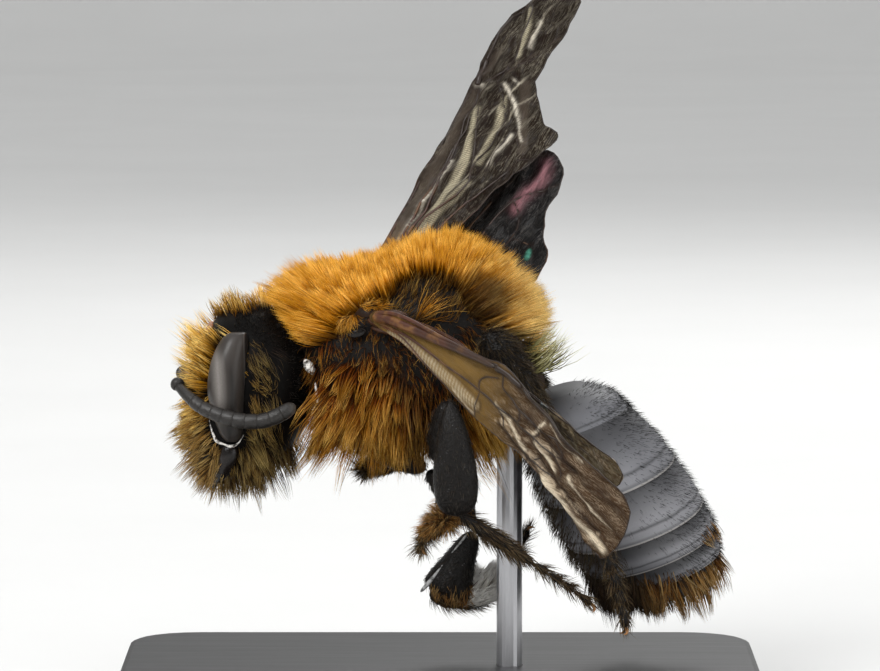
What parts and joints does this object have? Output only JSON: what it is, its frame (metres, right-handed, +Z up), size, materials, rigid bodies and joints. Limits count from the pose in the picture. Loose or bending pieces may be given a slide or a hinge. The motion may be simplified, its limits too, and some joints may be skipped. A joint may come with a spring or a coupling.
{
  "type": "bee model",
  "caption": "Life-size bee with orange-haired thorax, black banded abdomen and smoky wings, wings swept as pinned, held over a flat stand by a rod.",
  "frame": {"origin": "centre of the stand's flat underside", "axes": "+Z up; the head points to -X, the bee's left side faces -Y"},
  "size_m": [0.018, 0.0163, 0.0202],
  "materials": {
    "stand_base": "satin black acrylic",
    "stand_rod": "thin steel rod",
    "face_hair": "golden and brown hair over black shell",
    "thorax_hair": "dense bright orange hair",
    "eyes": "dark grey, soft sheen",
    "antennae": "black-grey, fine pile",
    "shell": "glossy black",
    "wings": "smoky brown, slightly see-through, silvery folds",
    "tail_fringe": "orange-brown hair fringe",
    "abdomen_plates": "satin black, finely textured",
    "legs": "black shell with brown hair"
  },
  "bodies": {
    "root": {"abdomen_1": "abdomen_plates", "abdomen_2": "abdomen_plates", "abdomen_3": "abdomen_plates", "abdomen_4": "abdomen_plates", "abdomen_5": "tail_fringe", "abdomen_6": "tail_fringe", "antenna_flagellum_left": "antennae", "antenna_flagellum_right": "antennae", "antenna_scape_left": "antennae", "antenna_scape_right": "antennae", "eye_left": "eyes", "eye_right": "eyes", "forewing_left": "wings", "forewing_right": "wings", "head": "face_hair", "hindwing_left": "wings", "hindwing_right": "wings", "leg_fore_left_femur": "legs", "leg_fore_left_tarsus": "legs", "leg_fore_left_tibia": "legs", "leg_fore_right_femur": "legs", "leg_fore_right_tarsus": "legs", "leg_fore_right_tibia": "legs", "leg_hind_left_femur": "legs", "leg_hind_left_tarsus": "legs", "leg_hind_left_tibia": "legs", "leg_hind_right_femur": "legs", "leg_hind_right_tarsus": "legs", "leg_hind_right_tibia": "legs", "leg_mid_left_femur": "legs", "leg_mid_left_tarsus": "legs", "leg_mid_left_tibia": "legs", "leg_mid_right_femur": "legs", "leg_mid_right_tarsus": "legs", "leg_mid_right_tibia": "legs", "mandible_left": "shell", "mandible_right": "shell", "stand_base": "stand_base", "stand_rod": "stand_rod", "tegula_left": "shell", "tegula_right": "shell", "thorax": "thorax_hair"}
  },
  "joints": []
}
